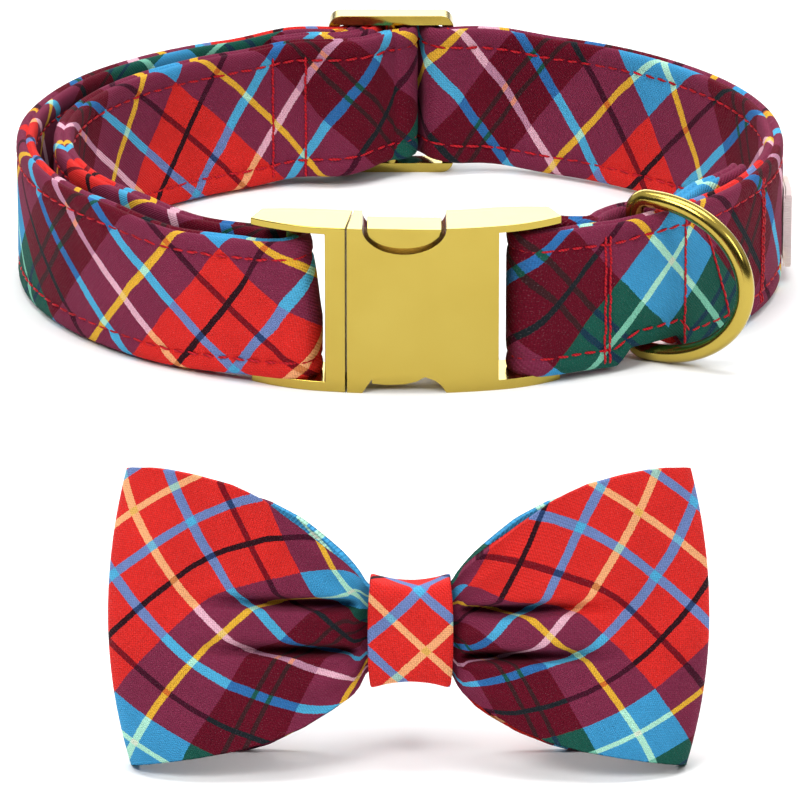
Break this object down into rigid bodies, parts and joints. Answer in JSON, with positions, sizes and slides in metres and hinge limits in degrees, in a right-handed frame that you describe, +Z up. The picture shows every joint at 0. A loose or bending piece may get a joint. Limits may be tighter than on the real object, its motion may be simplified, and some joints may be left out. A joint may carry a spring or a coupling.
{
  "type": "pet bow tie collar",
  "caption": "Buckled cloth pet collar loop with metal side-release buckle, slider and swinging leash D-ring, and its detachable cloth bow tie standing in front.",
  "frame": {"origin": "middle of the footprint, on the floor under the lowest points", "axes": "+Z up, -Y towards the bow and the front of the buckle, +X to the right seen from the front"},
  "size_m": [0.1318, 0.2846, 0.0442],
  "materials": {
    "tartan": "printed cotton in a red, blue, green and maroon tartan with red stitching",
    "gold_metal": "polished gold-coloured plating",
    "tag_cloth": "plain pale ribbon",
    "elastic": "dark woven elastic"
  },
  "bodies": {
    "collar": {"strap": "tartan", "buckle_male": "gold_metal", "buckle_female": "gold_metal", "slider": "gold_metal", "size_tag": "tag_cloth", "bow_wings": "tartan", "bow_knot": "tartan", "bow_rear_loop": "elastic"},
    "d_ring": {"d_ring": "gold_metal"}
  },
  "joints": [
    {"name": "d_ring_swing", "type": "hinge", "parent": "collar", "child": "d_ring", "pos_m": [0.03776, 0.03677, 0.0148], "axis": [0, 0, 1], "range_deg": [-70, 22]}
  ]
}
